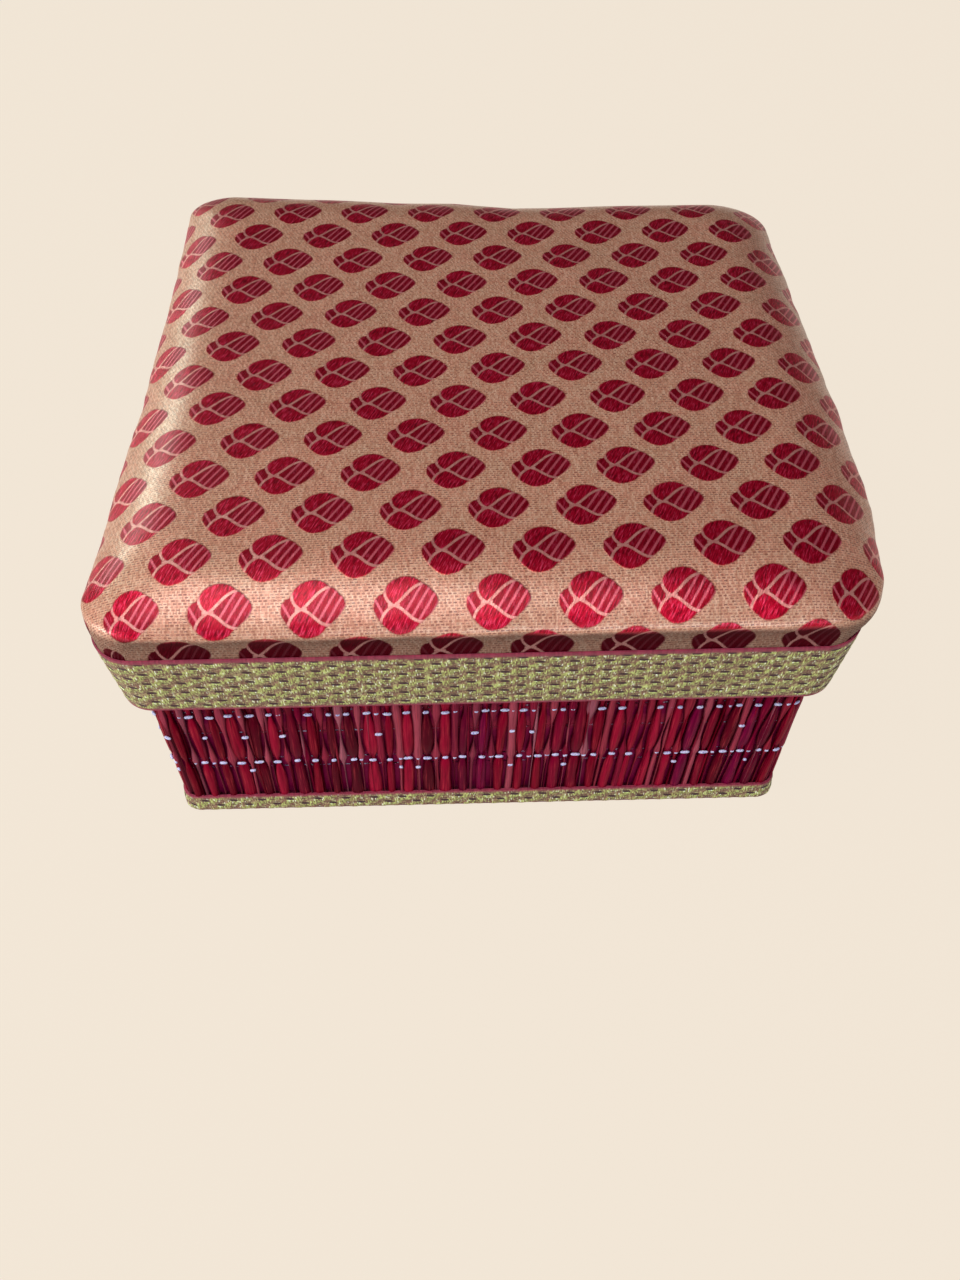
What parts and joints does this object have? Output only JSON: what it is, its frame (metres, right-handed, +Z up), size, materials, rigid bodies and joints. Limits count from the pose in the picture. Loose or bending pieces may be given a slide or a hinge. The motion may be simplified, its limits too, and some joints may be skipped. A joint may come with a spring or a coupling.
{
  "type": "keepsake box",
  "caption": "Rectangular keepsake box: card base wrapped in a bound grass-stem mat, and a padded fabric-covered lid with a ribbon band that lifts straight off.",
  "frame": {"origin": "on the table under the middle of the box, with the lid on", "axes": "+X along the longer side, -Y is the front, +Z up; the lid lifts along +Z"},
  "size_m": [0.1584, 0.1544, 0.0823],
  "materials": {
    "card": "grey board, matte",
    "paper": "matte cloth-faced paper",
    "lining": "plain crimson cloth",
    "grass": "dyed split stems, satin",
    "thread": "white cotton",
    "ribbon": "woven greenish gold metal thread",
    "brocade": "satin brocade with metal thread",
    "foam": "open foam"
  },
  "bodies": {
    "base": {"bottom_cover": "paper", "base_ribbon": "ribbon", "base_floor_board": "card", "base_wall_front": "card", "base_wall_right": "card", "base_wall_back": "card", "base_wall_left": "card", "grass_mat": "grass", "binding_thread_1": "thread", "binding_thread_2": "thread", "binding_thread_3": "thread", "binding_thread_4": "thread", "floor_lining": "lining", "wall_lining": "lining"},
    "lid": {"lid_ceiling_lining": "lining", "lid_board": "card", "lid_rim_hoop": "card", "lid_rim_lining": "lining", "foam_pad": "foam", "brocade_cover": "brocade", "lid_ribbon": "ribbon"}
  },
  "joints": [
    {"name": "lid_lift", "type": "slide", "parent": "base", "child": "lid", "axis": [0, 0, 1], "range_m": [0, 0.1]}
  ]
}
